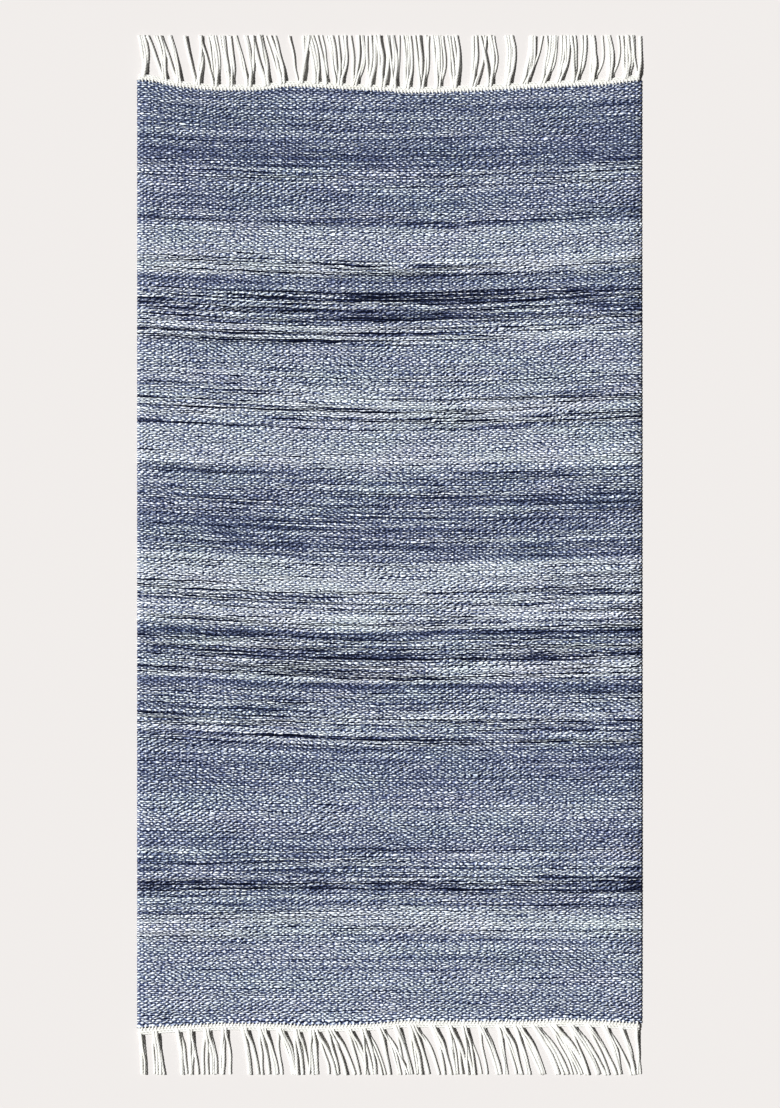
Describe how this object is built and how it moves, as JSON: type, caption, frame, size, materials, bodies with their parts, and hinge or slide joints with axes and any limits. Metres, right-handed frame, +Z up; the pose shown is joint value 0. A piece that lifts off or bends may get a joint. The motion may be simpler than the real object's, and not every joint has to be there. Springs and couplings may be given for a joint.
{
  "type": "outdoor rug",
  "caption": "Flat-woven rectangular outdoor rug in streaked blue and white weft, with a cream twined heading and a tassel fringe at each end.",
  "frame": {"origin": "middle of the flat underside, at floor level", "axes": "+Y along the rug's length towards its head end, +X across its width to the right when seen from above, +Z up out of the cloth's face"},
  "size_m": [0.801, 1.65, 0.0053],
  "materials": {
    "woven_weft": "matt flat-woven yarn, space-dyed from navy to off-white",
    "cream_yarn": "matt two-ply cream yarn"
  },
  "bodies": {
    "root": {"rug_field": "woven_weft", "fringe_head": "cream_yarn", "fringe_foot": "cream_yarn"}
  },
  "joints": []
}
